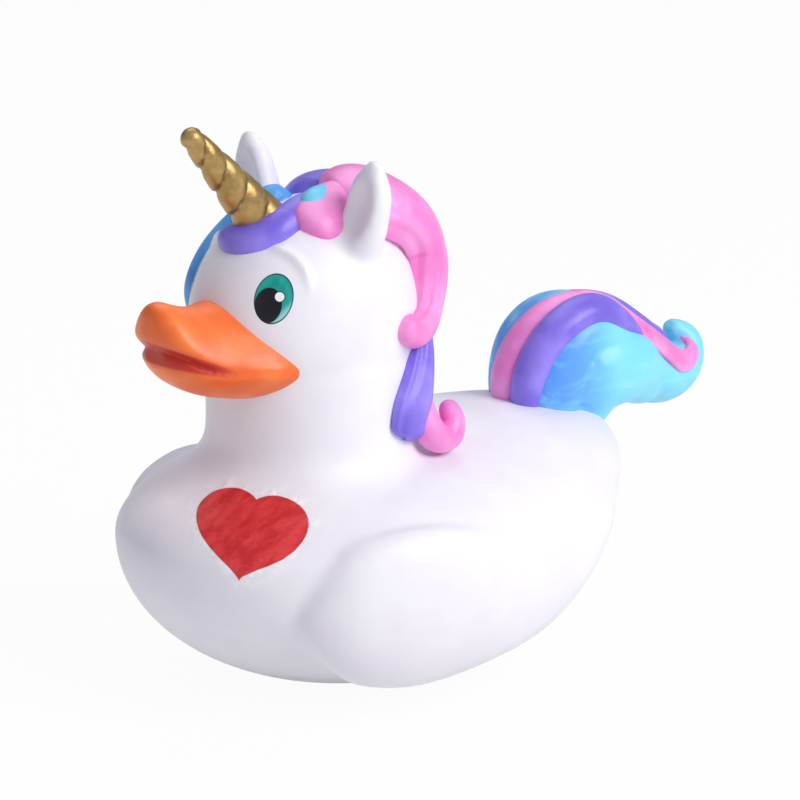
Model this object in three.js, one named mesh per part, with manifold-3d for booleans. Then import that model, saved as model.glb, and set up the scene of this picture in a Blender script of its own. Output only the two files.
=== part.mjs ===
// Toy duck with a unicorn's horn, mane and tail: one moulding of soft rubber, standing on a flat base.
// The duck looks towards -Y, its left side is +X and z = 0 is the base. All sizes are in millimetres.

import * as THREE from "three";
import { LoftGeometry } from "three/addons/geometries/LoftGeometry.js";
import { mergeVertices } from "three/addons/utils/BufferGeometryUtils.js";
import Module from "manifold-3d";

const wasm = await Module();
wasm.setup();

// Body: a boat-shaped hull, widest low down, with a level back and a stern that rises.
const BREAST_REACH = 41;
const STERN_REACH = 43;
const BODY_HALF_WIDTH = 31;
const WIDEST_HEIGHT = 24;
const BACK_HEIGHT = 36.5;
const KEEL_DEPTH = 24.9;
const STERN_LIFT = 6.5;

// Neck: a waist just above the back, running out over the shoulders in a wide fillet.
const NECK_FORWARD = 11;
const NECK_RADIUS = 15.4;
const NECK_HEIGHT = 38.5;
const NECK_FLARE = 9;
const NECK_FLARE_DEPTH = 8.4;

// Head: an egg lying along the body, its blunt end at the bill.
const HEAD_FORWARD = 10;
const HEAD_HEIGHT = 56.5;
const HEAD_FRONT = 19.75;
const HEAD_REAR = 15.1;
const HEAD_HALF_WIDTH = 16;
const HEAD_HALF_HEIGHT = 17;

// Wings: puffed teardrops on both sides, round in front, with a tip that sweeps up behind.
const WING_FRONT = 28.3;
const WING_TIP = -31;
const WING_FRONT_HEIGHT = 17.6;
const WING_TIP_HEIGHT = 26.8;
const WING_HALF_DEPTH = 12.7;
const WING_THICKNESS = 3.2;
const WING_SUNK = 2.4;
const WING_ROUND = 0.13;

// Bill: an arched upper half with a turned-up tip over a shorter lower half.
const BILL_REACH = 40;
const BILL_HALF_WIDTH = 11.7;
const BILL_TOP = 60.6;
const BILL_SIDE = 52;
const LOWER_BILL_REACH = 37.8;
const LOWER_BILL_HALF_WIDTH = 11;
const LOWER_BILL_BOTTOM = 45.6;
const MOUTH_GAP = 1.5;

// Horn: leaning forward from the forehead, with a spiral ridge.
const HORN_ELEVATION = 60;
const HORN_LENGTH = 19.6;
const HORN_TILT = 42.5;
const HORN_BASE_RADIUS = 3.6;
const HORN_TIP_RADIUS = 1.45;
const HORN_RIDGE = 0.35;
const HORN_TURNS = 4.2;
const HORN_ROOT = 4;

// Ears: upright leaves with a hollow in front.
const EAR_AZIMUTH = 88;
const EAR_ELEVATION = 40;
const EAR_SUNK = 2.8;
const EAR_LENGTH = 15.8;
const EAR_LEAN = 18;
const EAR_HALF_WIDTH = 3.9;
const EAR_HALF_DEPTH = 3.1;
const EAR_HOLLOW = 1.1;

// Mane: locks that lie on the head and neck, each sunk by the same amount.
const LOCK_SUNK = 1;
const FORELOCK_WIDTH = 3.4;
const FORELOCK_HEIGHT = 3;
const BANG_WIDTH = 4.6;
const BANG_HEIGHT = 3.2;
const WISP_WIDTH = 2.4;
const WISP_HEIGHT = 2.6;
const CHEEK_LOCK_WIDTH = 4;
const CHEEK_LOCK_HEIGHT = 3.6;
const BACK_LOCK_WIDTH = 9;
const BACK_LOCK_HEIGHT = 4.6;
const NAPE_LOCK_WIDTH = 4.8;
const NAPE_LOCK_HEIGHT = 3.4;
const CURL_RADIUS = 2.2;

// Brow: a thin raised crease above each eye.
const BROW_RADIUS = 0.75;

// Tail: a plume that rises from the rump, arches back and ends in a hook.
const TAIL_TOP = 46;
const TAIL_ROOT_BACK = 35;
const TAIL_END_BACK = 64.5;
const TAIL_LOW = 35.3;
const TAIL_HALF_WIDTH = 9.6;
const TAIL_HALF_THICKNESS = 6.1;
const TAIL_GROOVE = 0.8;
const TAIL_FLANK_WIDTH = 5.8;
const TAIL_FLANK_HEIGHT = 4;

const DEG = Math.PI / 180;

const at = (forward, left, up) => new THREE.Vector3(left, -forward, up);

// Turns a closed geometry into a solid, with its faces outward.
const solid = (geometry) => {
  let shape = geometry.index ? geometry.toNonIndexed() : geometry.clone();
  shape.deleteAttribute("normal");
  shape.deleteAttribute("uv");
  shape = mergeVertices(shape, 1e-4);
  const corners = shape.attributes.position.array;
  const kept = [];
  let volume = 0;
  const a = new THREE.Vector3();
  const b = new THREE.Vector3();
  const c = new THREE.Vector3();
  for (let i = 0; i < shape.index.count; i += 3) {
    const face = [shape.index.getX(i), shape.index.getX(i + 1), shape.index.getX(i + 2)];
    if (face[0] === face[1] || face[1] === face[2] || face[2] === face[0]) {
      continue;
    }
    a.fromArray(corners, face[0] * 3);
    b.fromArray(corners, face[1] * 3);
    c.fromArray(corners, face[2] * 3);
    volume += a.dot(b.cross(c));
    kept.push(face);
  }
  const faces = kept.map((face) => (volume < 0 ? [face[0], face[2], face[1]] : face)).flat();
  return new wasm.Manifold(new wasm.Mesh({
    numProp: 3,
    vertProperties: new Float32Array(corners),
    triVerts: new Uint32Array(faces),
  }));
};

// A skin through rings, each end drawn in to a point at the middle of its last ring.
const loft = (rings) => {
  const middleOf = (ring) => ring
    .reduce((sum, point) => sum.add(point), new THREE.Vector3())
    .divideScalar(ring.length);
  const pointed = (ring) => {
    const middle = middleOf(ring);
    return ring.map(() => middle.clone());
  };
  const first = pointed(rings[0]);
  const last = pointed(rings[rings.length - 1]);
  return solid(new LoftGeometry([first, ...rings, last]));
};

// Reads a list of sizes, spread evenly from 0 to 1, as one smooth run.
const run = (sizes) => {
  const curve = new THREE.SplineCurve(sizes.map((size, i) => new THREE.Vector2(i, size)));
  return (share) => curve.getPoint(share).y;
};

// A lock swept along its middle line: half widths across, half heights along the outward direction.
const lock = (points, outward, widths, heights, steps, sides) => {
  const path = new THREE.CatmullRomCurve3(points, false, "centripetal");
  const width = run(widths);
  const height = run(heights);
  const rings = [];
  for (let i = 0; i <= steps; i += 1) {
    const share = 0.5 - 0.5 * Math.cos((Math.PI * i) / steps);
    const middle = path.getPointAt(share);
    const ahead = path.getTangentAt(share);
    const out = outward(middle).addScaledVector(ahead, -outward(middle).dot(ahead)).normalize();
    const across = new THREE.Vector3().crossVectors(out, ahead).normalize();
    const ring = [];
    for (let j = 0; j < sides; j += 1) {
      const turn = (2 * Math.PI * j) / sides;
      ring.push(middle.clone()
        .addScaledVector(across, width(share) * Math.cos(turn))
        .addScaledVector(out, height(share) * Math.sin(turn)));
    }
    rings.push(ring);
  }
  return loft(rings);
};

const mirrored = (shape) => shape.mirror([1, 0, 0]);

// Hull surface: unit directions stretched to the reaches, with the stern lifted.
const sternLift = (forward) => (forward < 0 ? STERN_LIFT * (forward / STERN_REACH) ** 2 : 0);

const hullPoint = (direction) => {
  const forward = -direction.y * (direction.y < 0 ? BREAST_REACH : STERN_REACH);
  const rise = direction.z > 0 ? BACK_HEIGHT - WIDEST_HEIGHT : KEEL_DEPTH;
  const up = WIDEST_HEIGHT + direction.z * rise + sternLift(forward);
  return at(forward, direction.x * BODY_HALF_WIDTH, up);
};

const hullSide = (forward, up) => {
  const along = forward / (forward > 0 ? BREAST_REACH : STERN_REACH);
  const level = up - sternLift(forward) - WIDEST_HEIGHT;
  const high = level / (level > 0 ? BACK_HEIGHT - WIDEST_HEIGHT : KEEL_DEPTH);
  return BODY_HALF_WIDTH * Math.sqrt(Math.max(0.05, 1 - along * along - high * high));
};

const hullOut = (point) => new THREE.Vector3(
  point.x / BODY_HALF_WIDTH ** 2,
  point.y / BREAST_REACH ** 2,
  (point.z - WIDEST_HEIGHT) / (2 * KEEL_DEPTH ** 2),
).normalize();

const hullGeometry = new THREE.SphereGeometry(1, 40, 22).rotateX(Math.PI / 2);
const hullPlaces = hullGeometry.attributes.position;
for (let i = 0; i < hullPlaces.count; i += 1) {
  const place = hullPoint(new THREE.Vector3().fromBufferAttribute(hullPlaces, i));
  hullPlaces.setXYZ(i, place.x, place.y, place.z);
}
const hull = solid(hullGeometry);

// Neck, turned about its own upright axis from inside the body to inside the head.
const neckLine = new THREE.SplineCurve([
  new THREE.Vector2(NECK_RADIUS + NECK_FLARE, NECK_HEIGHT - NECK_FLARE_DEPTH),
  new THREE.Vector2(NECK_RADIUS + 0.62 * NECK_FLARE, NECK_HEIGHT - 0.76 * NECK_FLARE_DEPTH),
  new THREE.Vector2(NECK_RADIUS + 0.22 * NECK_FLARE, NECK_HEIGHT - 0.46 * NECK_FLARE_DEPTH),
  new THREE.Vector2(NECK_RADIUS, NECK_HEIGHT),
  new THREE.Vector2(NECK_RADIUS, 0.6 * NECK_HEIGHT + 0.4 * HEAD_HEIGHT),
  new THREE.Vector2(NECK_RADIUS, 0.25 * NECK_HEIGHT + 0.75 * HEAD_HEIGHT),
]);
const neckProfile = [
  new THREE.Vector2(0, NECK_HEIGHT - NECK_FLARE_DEPTH - 1),
  ...neckLine.getPoints(10),
  new THREE.Vector2(0, HEAD_HEIGHT),
];
const neckGeometry = new THREE.LatheGeometry(neckProfile, 36).rotateX(Math.PI / 2);
const neck = solid(neckGeometry.translate(0, -NECK_FORWARD, 0));

// Head surface, by azimuth from straight ahead (positive to the duck's left) and elevation.
const headOut = (point) => {
  const ahead = -point.y - HEAD_FORWARD;
  const reach = ahead > 0 ? HEAD_FRONT : HEAD_REAR;
  return new THREE.Vector3(
    point.x / HEAD_HALF_WIDTH ** 2,
    -ahead / reach ** 2,
    Math.max(0, point.z - HEAD_HEIGHT) / HEAD_HALF_HEIGHT ** 2,
  ).normalize();
};

const onHead = (azimuth, elevation, lift) => {
  const ahead = Math.cos(elevation * DEG) * Math.cos(azimuth * DEG);
  const aside = Math.cos(elevation * DEG) * Math.sin(azimuth * DEG);
  const place = at(
    HEAD_FORWARD + ahead * (ahead > 0 ? HEAD_FRONT : HEAD_REAR),
    aside * HEAD_HALF_WIDTH,
    HEAD_HEIGHT + HEAD_HALF_HEIGHT * Math.sin(elevation * DEG),
  );
  return place.addScaledVector(headOut(place), lift);
};

const onNeck = (azimuth, up, lift) => at(
  NECK_FORWARD + (NECK_RADIUS + lift) * Math.cos(azimuth * DEG),
  (NECK_RADIUS + lift) * Math.sin(azimuth * DEG),
  up,
);

const headGeometry = new THREE.SphereGeometry(1, 36, 20).rotateX(Math.PI / 2);
const headPlaces = headGeometry.attributes.position;
for (let i = 0; i < headPlaces.count; i += 1) {
  const ahead = -headPlaces.getY(i);
  headPlaces.setXYZ(
    i,
    headPlaces.getX(i) * HEAD_HALF_WIDTH,
    -(HEAD_FORWARD + ahead * (ahead > 0 ? HEAD_FRONT : HEAD_REAR)),
    HEAD_HEIGHT + headPlaces.getZ(i) * HEAD_HALF_HEIGHT,
  );
}
const head = solid(headGeometry);

// Left wing: rings square to a middle line that follows the side of the hull, a little under the skin.
// The middle line sags amidships and rises to the tip, and the front is rounded off over WING_ROUND.
const wingRise = run([0, 0.01, -0.01, -0.02, -0.06, -0.07, -0.02, 0.15, 0.4, 0.71, 1]);
const wingDepth = run([0.71, 0.87, 0.98, 1, 0.92, 0.82, 0.75, 0.66, 0.52, 0.34, 0.13]);
const wingPuff = run([0.8, 0.95, 1, 1, 1, 0.98, 0.95, 0.88, 0.78, 0.6, 0.3]);
const wingThick = WING_THICKNESS + WING_SUNK;
const wingMiddle = (share) => {
  const forward = WING_FRONT + share * (WING_TIP - WING_FRONT);
  const up = WING_FRONT_HEIGHT + (WING_TIP_HEIGHT - WING_FRONT_HEIGHT) * wingRise(share);
  return at(forward, hullSide(forward, up) - WING_SUNK, up);
};
const wingRings = [];
const wingSteps = 18;
const wingSides = 18;
for (let i = 0; i <= wingSteps; i += 1) {
  const share = 0.002 + 0.996 * (0.5 - 0.5 * Math.cos((Math.PI * i) / wingSteps));
  const middle = wingMiddle(share);
  const ahead = wingMiddle(Math.min(1, share + 0.02)).sub(wingMiddle(Math.max(0, share - 0.02))).normalize();
  const out = hullOut(middle);
  out.addScaledVector(ahead, -out.dot(ahead)).normalize();
  const across = new THREE.Vector3().crossVectors(out, ahead).normalize();
  const toFront = Math.max(0, 1 - share / WING_ROUND);
  const toTip = Math.max(0, 1 - (1 - share) / (0.3 * WING_ROUND));
  const rounded = Math.sqrt(1 - toFront * toFront) * Math.sqrt(1 - toTip * toTip);
  const ring = [];
  for (let j = 0; j < wingSides; j += 1) {
    const turn = (2 * Math.PI * j) / wingSides;
    ring.push(middle.clone()
      .addScaledVector(across, WING_HALF_DEPTH * wingDepth(share) * rounded * Math.cos(turn))
      .addScaledVector(out, wingThick * wingPuff(share) * Math.sqrt(rounded) * Math.sin(turn)));
  }
  wingRings.push(ring);
}
const leftWing = loft(wingRings);

// Bill halves: rings across the bill, arched over the middle and rounded at the side rims.
const billHalf = (stations, sides) => {
  const rings = stations.map(([forward, half, top, side, bottom, rim]) => {
    const ring = [];
    for (let j = 0; j < sides; j += 1) {
      const turn = (2 * Math.PI * j) / sides;
      const rise = Math.sin(turn);
      const middle = rise > 0 ? top - side - rim : bottom - side + rim;
      ring.push(at(forward, half * Math.cos(turn), side + middle * rise * rise + rim * rise));
    }
    return ring;
  });
  return loft(rings);
};

const billRoot = HEAD_FORWARD + 0.5 * HEAD_FRONT;
const upperReach = (share) => billRoot + share * (BILL_REACH - billRoot);
const upperBill = billHalf([
  [upperReach(0), BILL_HALF_WIDTH, BILL_TOP - 1, BILL_SIDE - 0.3, BILL_SIDE - 2.5, 1.4],
  [upperReach(0.24), BILL_HALF_WIDTH, BILL_TOP, BILL_SIDE - 0.2, BILL_SIDE - 2, 1.5],
  [upperReach(0.42), 0.91 * BILL_HALF_WIDTH, BILL_TOP, BILL_SIDE + 0.2, BILL_SIDE - 1.2, 1.6],
  [upperReach(0.61), 0.76 * BILL_HALF_WIDTH, BILL_TOP - 0.6, BILL_SIDE + 0.8, BILL_SIDE, 1.7],
  [upperReach(0.77), 0.62 * BILL_HALF_WIDTH, BILL_TOP - 0.4, BILL_SIDE + 1.8, BILL_SIDE + 0.9, 1.9],
  [upperReach(0.89), 0.48 * BILL_HALF_WIDTH, BILL_TOP + 0.2, BILL_SIDE + 3.2, BILL_SIDE + 1.7, 2],
  [upperReach(0.97), 0.3 * BILL_HALF_WIDTH, BILL_TOP - 0.2, BILL_SIDE + 4.2, BILL_SIDE + 2.7, 1.6],
  [upperReach(1), 0.11 * BILL_HALF_WIDTH, BILL_TOP - 1.6, BILL_SIDE + 5.2, BILL_SIDE + 4.2, 0.8],
], 22);

const lowerReach = (share) => billRoot + share * (LOWER_BILL_REACH - billRoot);
const chinHalf = LOWER_BILL_HALF_WIDTH;
const chin = LOWER_BILL_BOTTOM;
const lowerTop = (share) => BILL_SIDE + 1.2 - MOUTH_GAP * share;
const lowerBill = billHalf([
  [lowerReach(0), 0.95 * chinHalf, lowerTop(0), BILL_SIDE - 2.2, chin, 1.4],
  [lowerReach(0.27), chinHalf, lowerTop(0.1), BILL_SIDE - 2.3, chin, 1.5],
  [lowerReach(0.48), 0.92 * chinHalf, lowerTop(0.5), BILL_SIDE - 2.1, chin + 0.7, 1.5],
  [lowerReach(0.69), 0.76 * chinHalf, lowerTop(1), BILL_SIDE - 1.9, chin + 2, 1.4],
  [lowerReach(0.85), 0.57 * chinHalf, lowerTop(1), BILL_SIDE - 1.6, chin + 3.5, 1.2],
  [lowerReach(0.95), 0.34 * chinHalf, lowerTop(1), BILL_SIDE - 1.4, chin + 4.8, 1],
  [lowerReach(1), 0.12 * chinHalf, lowerTop(1.1), BILL_SIDE - 1.4, chin + 5.5, 0.5],
], 20);

// Horn: rings square to its axis, with a ridge that winds up it.
const hornFoot = onHead(0, HORN_ELEVATION, 0);
const hornAhead = at(Math.sin(HORN_TILT * DEG), 0, Math.cos(HORN_TILT * DEG));
const hornSide = at(0, 1, 0);
const hornUp = new THREE.Vector3().crossVectors(hornAhead, hornSide);
const hornRings = [];
const hornSteps = 28;
for (let i = 0; i <= hornSteps; i += 1) {
  const share = i / hornSteps;
  const along = share * (HORN_LENGTH + HORN_ROOT) - HORN_ROOT;
  const taper = HORN_BASE_RADIUS + (along / HORN_LENGTH) * (HORN_TIP_RADIUS - HORN_BASE_RADIUS);
  const toTip = Math.max(0, 1 - (HORN_LENGTH - along) / HORN_TIP_RADIUS);
  const radius = taper * Math.sqrt(Math.max(0.04, 1 - toTip * toTip));
  const ring = [];
  for (let j = 0; j < 12; j += 1) {
    const turn = (2 * Math.PI * j) / 12;
    const wound = Math.cos(turn - (2 * Math.PI * HORN_TURNS * along) / HORN_LENGTH);
    const reach = radius + HORN_RIDGE * wound * (1 - toTip);
    ring.push(hornFoot.clone()
      .addScaledVector(hornAhead, along)
      .addScaledVector(hornSide, reach * Math.cos(turn))
      .addScaledVector(hornUp, reach * Math.sin(turn)));
  }
  hornRings.push(ring);
}
const horn = loft(hornRings);

// Left ear, with its hollow cut out of the front.
const earFoot = onHead(EAR_AZIMUTH, EAR_ELEVATION, -EAR_SUNK);
const earAhead = at(0, Math.sin(EAR_LEAN * DEG), Math.cos(EAR_LEAN * DEG));
const earTip = earFoot.clone().addScaledVector(earAhead, EAR_LENGTH);
const forwardOut = () => at(1, 0, 0);
const earLeaf = lock(
  [earFoot, earFoot.clone().lerp(earTip, 0.5).add(at(0, 0.3, 0)), earTip],
  forwardOut,
  [0.8, 1, 0.96, 0.76, 0.2].map((share) => share * EAR_HALF_WIDTH),
  [1, 1, 0.9, 0.7, 0.22].map((share) => share * EAR_HALF_DEPTH),
  10,
  14,
);
const earHollow = new THREE.SphereGeometry(1, 14, 10);
earHollow.scale(0.62 * EAR_HALF_WIDTH, EAR_HOLLOW, 0.35 * EAR_LENGTH);
earHollow.rotateY(EAR_LEAN * DEG);
const hollowPlace = earFoot.clone().lerp(earTip, 0.56).add(at(0.92 * EAR_HALF_DEPTH, 0.2, 0));
earHollow.translate(hollowPlace.x, hollowPlace.y, hollowPlace.z);
const leftEar = earLeaf.subtract(solid(earHollow));

// Brow crease over the left eye.
const leftBrow = lock(
  [onHead(30, 44, 0), onHead(42, 41, 0), onHead(51, 34, 0), onHead(56, 21, 0)],
  headOut,
  [0.7, 1, 0.9, 0.5, 0.2].map((share) => share * BROW_RADIUS),
  [0.7, 1, 0.9, 0.5, 0.2].map((share) => share * BROW_RADIUS),
  8,
  6,
);

// Mane. Each lock gives its line on the head, then its half widths and heights from root to tip.
const hair = (points, width, height, widths, heights, steps, sides) => lock(
  points,
  headOut,
  widths.map((share) => share * width),
  heights.map((share) => share * height),
  steps,
  sides,
);

const rise = -LOCK_SUNK;
const forelock = hair(
  [onHead(75, 80, rise), onHead(40, 70, rise), onHead(29, 60, rise), onHead(19, 51, rise),
    onHead(2, 46, rise), onHead(-24, 43, rise)],
  FORELOCK_WIDTH, FORELOCK_HEIGHT, [0.8, 0.95, 0.9, 1, 0.95, 0.25], [0.9, 1, 1, 1, 0.95, 0.5], 14, 10,
);
const wisp = hair(
  [onHead(90, 78, rise), onHead(56, 72, rise), onHead(40, 66, rise)],
  WISP_WIDTH, WISP_HEIGHT, [0.7, 1, 0.9, 0.3], [1, 1, 1, 0.5], 8, 8,
);
const bang = hair(
  [onHead(130, 74, 0), onHead(88, 73, 0), onHead(66, 64, rise), onHead(52, 54, rise), onHead(47, 49, rise)],
  BANG_WIDTH, BANG_HEIGHT, [0.6, 0.85, 1, 0.95, 0.3], [0.9, 1, 1, 0.95, 0.45], 12, 10,
);
const cheekLock = hair(
  [onHead(-20, 72, 0), onHead(-70, 62, rise), onHead(-74, 42, rise), onHead(-64, 22, rise),
    onHead(-56, 2, rise), onHead(-60, -14, rise)],
  CHEEK_LOCK_WIDTH, CHEEK_LOCK_HEIGHT, [0.6, 1, 1, 0.95, 0.8, 0.2], [0.8, 0.9, 1, 1.05, 1, 0.5], 14, 10,
);
const leftBackLock = hair(
  [onHead(95, 80, -0.5), onHead(142, 66, 1.2), onHead(152, 42, 2), onHead(150, 16, 1), onNeck(143, 55, 0.8),
    onNeck(128, 50.6, 0.6), onNeck(114, 52, 0.4), onNeck(110, 55, 0.6)],
  BACK_LOCK_WIDTH, BACK_LOCK_HEIGHT, [0.6, 0.95, 1, 0.95, 0.8, 0.5, 0.3, 0.12],
  [0.9, 1.08, 1.06, 0.95, 0.8, 0.55, 0.45, 0.25], 20, 12,
);
const rightBackLock = hair(
  [onHead(-100, 78, -1), onHead(-146, 64, 0), onHead(-152, 42, 1), onHead(-150, 16, 0.6),
    onNeck(-143, 55, 0.6), onNeck(-129, 50, 0.4), onNeck(-117, 50.5, 0.3)],
  BACK_LOCK_WIDTH, BACK_LOCK_HEIGHT, [0.6, 0.95, 1, 0.95, 0.8, 0.5, 0.16],
  [0.9, 1.08, 1.06, 0.95, 0.8, 0.55, 0.3], 18, 12,
);
const leftNapeLock = hair(
  [onNeck(140, 56, 0.4), onNeck(127, 50.4, 0.2), onNeck(114, 44.4, 0), onNeck(109, 39.2, 0.4)],
  NAPE_LOCK_WIDTH, NAPE_LOCK_HEIGHT, [0.7, 1, 1.02, 0.3], [1, 1, 0.95, 0.5], 10, 10,
);
const rightNapeLock = hair(
  [onNeck(-140, 56, 0.4), onNeck(-127, 50.4, 0.2), onNeck(-114, 44.4, 0), onNeck(-109, 39.2, 0.4)],
  NAPE_LOCK_WIDTH, NAPE_LOCK_HEIGHT, [0.7, 1, 1.02, 0.3], [1, 1, 0.95, 0.5], 10, 10,
);
const curl = hair(
  [onNeck(132, 46, 0), onNeck(128, 41, 1.6), onNeck(129, 38.2, 3.2), onNeck(134, 37.6, 5),
    onNeck(138, 40, 5.6), onNeck(136, 42.8, 4.4)],
  CURL_RADIUS, CURL_RADIUS, [0.8, 1, 1.05, 1, 0.8, 0.35], [0.8, 1, 1.05, 1, 0.8, 0.35], 14, 10,
);

// Tail: rings along a spine in the middle plane, with grooves that part the locks.
const spine = new THREE.CatmullRomCurve3([
  at(-TAIL_ROOT_BACK - 1, 0, TAIL_TOP - 19),
  at(-TAIL_ROOT_BACK + 1.5, 0, TAIL_TOP - 10),
  at(-TAIL_ROOT_BACK, 0, TAIL_TOP - 3),
  at(-TAIL_ROOT_BACK - 5, 0, TAIL_TOP),
  at(-TAIL_ROOT_BACK - 11, 0, TAIL_TOP - 3),
  at(-TAIL_END_BACK + 11, 0, TAIL_LOW + 2.7),
  at(-TAIL_END_BACK + 6, 0, TAIL_LOW),
  at(-TAIL_END_BACK + 1.5, 0, TAIL_LOW + 1.2),
  at(-TAIL_END_BACK, 0, TAIL_LOW + 4.7),
  at(-TAIL_END_BACK + 2.5, 0, TAIL_LOW + 7.2),
], false, "centripetal");
const tailWidth = run([0.8, 0.95, 1, 0.98, 0.91, 0.8, 0.67, 0.52, 0.36, 0.12]);
const tailThickness = run([0.95, 1, 0.98, 0.98, 0.95, 0.82, 0.69, 0.54, 0.36, 0.15]);
const grooveTurns = [28, 66, 112, 146];
const tailRings = [];
const tailSteps = 26;
const tailSides = 30;
for (let i = 0; i <= tailSteps; i += 1) {
  const share = i / tailSteps;
  const middle = spine.getPoint(share);
  const ahead = spine.getTangent(share);
  const over = new THREE.Vector3().crossVectors(at(0, 1, 0), ahead).normalize();
  const ring = [];
  for (let j = 0; j < tailSides; j += 1) {
    const turn = (360 * j) / tailSides;
    const dip = grooveTurns.reduce((sum, groove) => sum + Math.exp(-(((turn - groove) / 9) ** 2)), 0);
    const inward = TAIL_GROOVE * dip * tailThickness(share);
    ring.push(middle.clone()
      .addScaledVector(at(0, 1, 0), (TAIL_HALF_WIDTH * tailWidth(share) - inward) * Math.cos(turn * DEG))
      .addScaledVector(over, (TAIL_HALF_THICKNESS * tailThickness(share) - inward) * Math.sin(turn * DEG)));
  }
  tailRings.push(ring);
}
const tail = loft(tailRings);

// Left flank of the tail: the broad lock that fills the side under the arch.
const leftFlank = lock(
  [
    at(-TAIL_ROOT_BACK - 3, 0.4 * TAIL_HALF_WIDTH, TAIL_LOW - 4),
    at(-TAIL_ROOT_BACK - 6, 0.62 * TAIL_HALF_WIDTH, TAIL_LOW + 3),
    at(-TAIL_ROOT_BACK - 12, 0.62 * TAIL_HALF_WIDTH, TAIL_LOW + 4),
    at(-TAIL_END_BACK + 12, 0.46 * TAIL_HALF_WIDTH, TAIL_LOW + 1.4),
    at(-TAIL_END_BACK + 6.5, 0.26 * TAIL_HALF_WIDTH, TAIL_LOW),
  ],
  () => at(0, 1, 0),
  [0.8, 1, 1, 0.84, 0.5].map((share) => share * TAIL_FLANK_WIDTH),
  [0.8, 1, 1, 0.8, 0.4].map((share) => share * TAIL_FLANK_HEIGHT),
  12,
  12,
);

// One moulding: everything joined, then the base cut flat.
const parts = [
  neck, head, leftWing, mirrored(leftWing), upperBill, lowerBill, horn, leftEar, mirrored(leftEar),
  leftBrow, mirrored(leftBrow), forelock, wisp, bang, cheekLock, leftBackLock, rightBackLock,
  leftNapeLock, rightNapeLock, curl, tail, leftFlank, mirrored(leftFlank),
];
const underBase = new THREE.BoxGeometry(4 * BODY_HALF_WIDTH, 4 * STERN_REACH, 2 * KEEL_DEPTH);
const joined = parts.reduce((sum, shape) => sum.add(shape), hull)
  .subtract(solid(underBase.translate(0, 0, -KEEL_DEPTH)));

const skin = joined.getMesh();
const duckGeometry = new THREE.BufferGeometry();
duckGeometry.setAttribute("position", new THREE.Float32BufferAttribute(skin.vertProperties, 3));
duckGeometry.setIndex(new THREE.Uint32BufferAttribute(skin.triVerts, 1));
duckGeometry.computeVertexNormals();

const rubber = new THREE.MeshStandardMaterial({ color: 0xf2eff6, roughness: 0.42, metalness: 0 });
const duck = new THREE.Mesh(duckGeometry, rubber);
duck.name = "duck";

const group = new THREE.Group();
group.name = "rubber_duck";
group.add(duck);

export default group;
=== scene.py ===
import math

import bmesh
import bpy
from mathutils import Matrix, Vector


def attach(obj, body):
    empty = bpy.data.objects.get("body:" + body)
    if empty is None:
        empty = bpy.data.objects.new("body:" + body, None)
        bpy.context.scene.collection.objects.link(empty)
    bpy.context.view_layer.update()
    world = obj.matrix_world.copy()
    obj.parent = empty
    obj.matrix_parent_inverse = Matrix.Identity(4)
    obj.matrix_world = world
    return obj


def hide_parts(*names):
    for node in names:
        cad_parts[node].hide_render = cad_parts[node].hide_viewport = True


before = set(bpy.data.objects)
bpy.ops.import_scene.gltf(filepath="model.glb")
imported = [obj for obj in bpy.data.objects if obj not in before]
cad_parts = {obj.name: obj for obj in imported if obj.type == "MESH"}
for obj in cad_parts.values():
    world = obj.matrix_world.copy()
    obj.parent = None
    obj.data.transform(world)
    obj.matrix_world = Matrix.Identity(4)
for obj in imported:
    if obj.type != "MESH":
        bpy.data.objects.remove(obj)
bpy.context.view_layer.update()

# The white moulding starts as a boat-shaped hull of soft rubber, cast in one with everything else.
# It is a ball drawn out fore and aft, flattened above its widest line, with the stern lifted.
mm = 0.001
BREAST_REACH = 41 * mm
STERN_REACH = 43 * mm
BODY_HALF_WIDTH = 31 * mm
WIDEST_HEIGHT = 24 * mm
BACK_HEIGHT = 36.5 * mm
KEEL_DEPTH = 24.9 * mm
STERN_LIFT = 6.5 * mm
bpy.context.scene.tool_settings.mesh_select_mode = (True, False, False)


def begin_piece():
    if bpy.context.object and bpy.context.object.mode != "OBJECT":
        bpy.ops.object.mode_set(mode="OBJECT")
    bpy.ops.object.select_all(action="DESELECT")


def pick(piece, wanted):
    skin = bmesh.from_edit_mesh(piece.data)
    for point in skin.verts:
        point.select = wanted(point)
    skin.select_flush_mode()
    bmesh.update_edit_mesh(piece.data)


def apply_modifier(piece, kind, **settings):
    modifier = piece.modifiers.new(kind.lower(), kind)
    for name, value in settings.items():
        setattr(modifier, name, value)
    bpy.context.view_layer.objects.active = piece
    bpy.ops.object.modifier_apply(modifier=modifier.name)


def ball(name, middle, half_width, half_length, half_height, segments, rings):
    begin_piece()
    bpy.ops.mesh.primitive_uv_sphere_add(
        segments=segments, ring_count=rings, radius=1, location=middle, rotation=(math.pi / 2, 0, 0),
        scale=(half_width, half_height, half_length),
    )
    piece = bpy.context.object
    piece.name = name
    bpy.ops.object.transform_apply(location=True, rotation=True, scale=True)
    return piece


def lift_of_stern(y):
    return STERN_LIFT * (y / STERN_REACH) ** 2 if y > 0 else 0.0


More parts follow.
